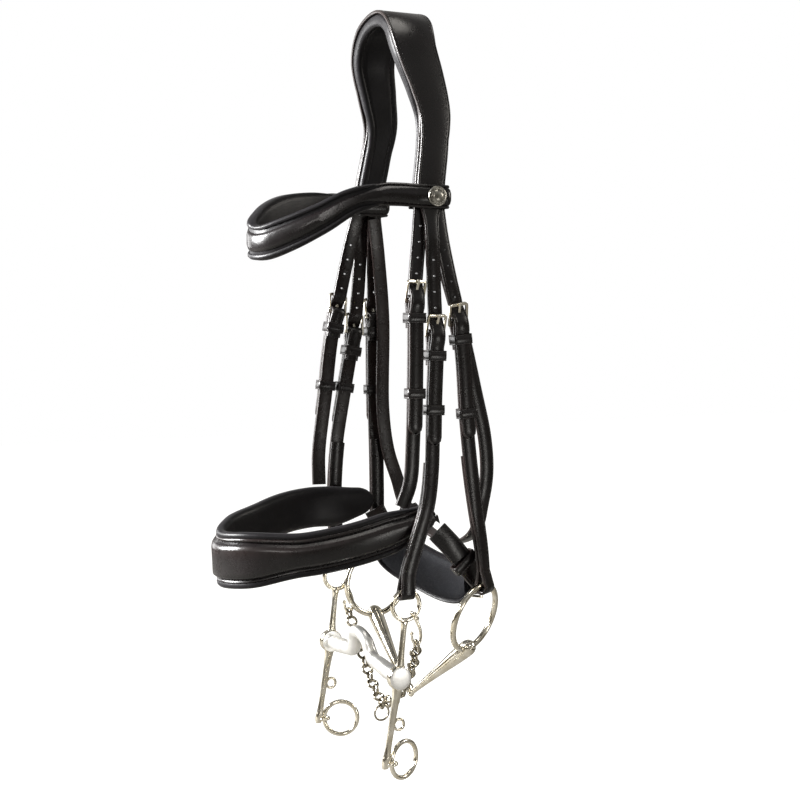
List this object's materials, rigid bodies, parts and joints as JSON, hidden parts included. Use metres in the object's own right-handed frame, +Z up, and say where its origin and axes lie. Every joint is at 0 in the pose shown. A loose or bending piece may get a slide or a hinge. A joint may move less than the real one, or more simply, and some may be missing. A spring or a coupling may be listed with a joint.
{
  "type": "double bridle",
  "caption": "Padded leather headstall with browband, crank noseband and throatlash, carrying a curb bit with its chain and a loose-ring snaffle, for riding a horse with two reins.",
  "frame": {"origin": "middle of the headpiece pad's underside, where it rests on the horse's poll", "axes": "+Z up, -Y towards the horse's nose, +X towards the horse's left side"},
  "size_m": [0.1521, 0.2276, 0.6133],
  "materials": {
    "leather": "black bridle leather with a faint brown cast, waxed to a satin shine",
    "lining": "soft black lining leather over foam padding, matt",
    "steel": "polished stainless steel",
    "satin_bar": "fine satin stainless steel"
  },
  "bodies": {
    "headstall": {"noseband_cheek_left": "leather", "noseband_buckle_left": "steel", "noseband_keeper_left": "leather", "curb_cheek_left": "leather", "curb_buckle_left": "steel", "curb_keeper_left": "leather", "bradoon_cheek_left": "leather", "bradoon_buckle_left": "steel", "bradoon_keeper_left": "leather", "noseband_cheek_right": "leather", "noseband_buckle_right": "steel", "noseband_keeper_right": "leather", "curb_cheek_right": "leather", "curb_buckle_right": "steel", "curb_keeper_right": "leather", "bradoon_cheek_right": "leather", "bradoon_buckle_right": "steel", "bradoon_keeper_right": "leather", "headpiece": "leather", "noseband_headstrap": "leather", "bradoon_headstrap": "leather", "headpiece_pad": "lining", "browband": "leather", "browband_pad": "lining", "rosette_left": "steel", "rosette_right": "steel", "noseband": "leather", "noseband_pad": "lining", "chin_pad": "lining", "crank_strap": "leather", "crank_keeper": "leather", "crank_buckle": "steel", "throatlash": "leather", "throatlash_keeper": "leather"},
    "curb": {"curb_shank_left": "steel", "curb_shank_right": "steel", "curb_mouthpiece": "satin_bar"},
    "rein_ring_left": {"curb_rein_ring_left": "steel"},
    "rein_ring_right": {"curb_rein_ring_right": "steel"},
    "chain": {"curb_hook_left": "steel", "curb_hook_right": "steel", "curb_chain_left": "steel", "curb_chain_right": "steel"},
    "fly": {"fly_ring": "steel"},
    "ring_left": {"bradoon_ring_left": "steel"},
    "ring_right": {"bradoon_ring_right": "steel"},
    "arm_left": {"bradoon_arm_left": "steel"},
    "arm_right": {"bradoon_arm_right": "steel"},
    "noseband_tongue_left_body": {"noseband_tongue_left": "steel"},
    "noseband_runner_left_body": {"noseband_runner_left": "leather"},
    "noseband_tongue_right_body": {"noseband_tongue_right": "steel"},
    "noseband_runner_right_body": {"noseband_runner_right": "leather"},
    "curb_tongue_left_body": {"curb_tongue_left": "steel"},
    "curb_runner_left_body": {"curb_runner_left": "leather"},
    "curb_tongue_right_body": {"curb_tongue_right": "steel"},
    "curb_runner_right_body": {"curb_runner_right": "leather"},
    "bradoon_tongue_left_body": {"bradoon_tongue_left": "steel"},
    "bradoon_runner_left_body": {"bradoon_runner_left": "leather"},
    "bradoon_tongue_right_body": {"bradoon_tongue_right": "steel"},
    "bradoon_runner_right_body": {"bradoon_runner_right": "leather"}
  },
  "joints": [
    {"name": "curb_swing", "type": "hinge", "parent": "headstall", "child": "curb", "pos_m": [0, -0.0237, -0.45933], "axis": [1, 0, 0], "range_deg": [-35, 6]},
    {"name": "rein_ring_left_turn", "type": "hinge", "parent": "curb", "child": "rein_ring_left", "pos_m": [0.068, -0.03625, -0.58433], "axis": [0, 0, 1], "range_deg": [-60, 48]},
    {"name": "rein_ring_right_turn", "type": "hinge", "parent": "curb", "child": "rein_ring_right", "pos_m": [-0.068, -0.03625, -0.58433], "axis": [0, 0, 1], "range_deg": [-48, 60]},
    {"name": "chain_swing", "type": "hinge", "parent": "headstall", "child": "chain", "pos_m": [0, -0.0237, -0.45933], "axis": [1, 0, 0], "range_deg": [-4, 4]},
    {"name": "fly_ring_swing", "type": "hinge", "parent": "chain", "child": "fly", "pos_m": [0, -0.0127, -0.55633], "axis": [1, 0, 0], "range_deg": [-12, 12]},
    {"name": "bradoon_ring_left_spin", "type": "hinge", "parent": "headstall", "child": "ring_left", "pos_m": [0.062, 0.0413, -0.47629], "axis": [0.8611, 0.4306, -0.2704], "continuous": true},
    {"name": "bradoon_ring_right_spin", "type": "hinge", "parent": "headstall", "child": "ring_right", "pos_m": [-0.062, 0.0103, -0.46733], "axis": [0.998, 0.0599, 0.02], "continuous": true},
    {"name": "bradoon_arm_left_swing", "type": "hinge", "parent": "headstall", "child": "arm_left", "pos_m": [0.062, 0.0413, -0.47629], "axis": [0.9678, 0.2419, -0.0699], "range_deg": [-4, 5]},
    {"name": "bradoon_arm_right_swing", "type": "hinge", "parent": "headstall", "child": "arm_right", "pos_m": [-0.062, 0.0103, -0.46733], "axis": [0.9678, 0.2419, -0.0699], "range_deg": [-4, 5]},
    {"name": "noseband_tongue_left_lift", "type": "hinge", "parent": "headstall", "child": "noseband_tongue_left_body", "pos_m": [0.06364, -0.01472, -0.2209], "axis": [0.0009, 0.9994, -0.0356], "range_deg": [0, 5]},
    {"name": "noseband_tongue_right_lift", "type": "hinge", "parent": "headstall", "child": "noseband_tongue_right_body", "pos_m": [-0.06377, -0.02483, -0.23054], "axis": [-0.0007, -0.9759, 0.2182], "range_deg": [0, 5]},
    {"name": "curb_tongue_left_lift", "type": "hinge", "parent": "headstall", "child": "curb_tongue_left_body", "pos_m": [0.06354, 0.00348, -0.2475], "axis": [0, 0.9999, -0.0108], "range_deg": [0, 5]},
    {"name": "curb_tongue_right_lift", "type": "hinge", "parent": "headstall", "child": "curb_tongue_right_body", "pos_m": [-0.06354, -0.00867, -0.24748], "axis": [0.0004, -0.9902, 0.1395], "range_deg": [0, 5]},
    {"name": "bradoon_tongue_left_lift", "type": "hinge", "parent": "headstall", "child": "bradoon_tongue_left_body", "pos_m": [0.06355, 0.0244, -0.23853], "axis": [0, 0.9892, 0.1466], "range_deg": [0, 5]},
    {"name": "bradoon_tongue_right_lift", "type": "hinge", "parent": "headstall", "child": "bradoon_tongue_right_body", "pos_m": [-0.06392, 0.0105, -0.23436], "axis": [0, -1, -0.0058], "range_deg": [0, 5]},
    {"name": "noseband_runner_left_slide", "type": "slide", "parent": "headstall", "child": "noseband_runner_left_body", "axis": [0.0038, -0.0154, -0.9999], "range_m": [-0.005, 0.005]},
    {"name": "noseband_runner_right_slide", "type": "slide", "parent": "headstall", "child": "noseband_runner_right_body", "axis": [0.0048, -0.1165, -0.9932], "range_m": [-0.005, 0.005]},
    {"name": "curb_runner_left_slide", "type": "slide", "parent": "headstall", "child": "curb_runner_left_body", "axis": [0.0221, -0.0287, -0.9993], "range_m": [-0.005, 0.005]},
    {"name": "curb_runner_right_slide", "type": "slide", "parent": "headstall", "child": "curb_runner_right_body", "axis": [-0.0068, -0.1734, -0.9848], "range_m": [-0.005, 0.005]},
    {"name": "bradoon_runner_left_slide", "type": "slide", "parent": "headstall", "child": "bradoon_runner_left_body", "axis": [-0.0005, 0.0907, -0.9959], "range_m": [-0.005, 0.005]},
    {"name": "bradoon_runner_right_slide", "type": "slide", "parent": "headstall", "child": "bradoon_runner_right_body", "axis": [0.0016, 0.0132, -0.9999], "range_m": [-0.005, 0.005]}
  ],
  "couplings": [
    {"joint": "bradoon_arm_right_swing", "follows": "bradoon_arm_left_swing", "ratio": 1}
  ]
}
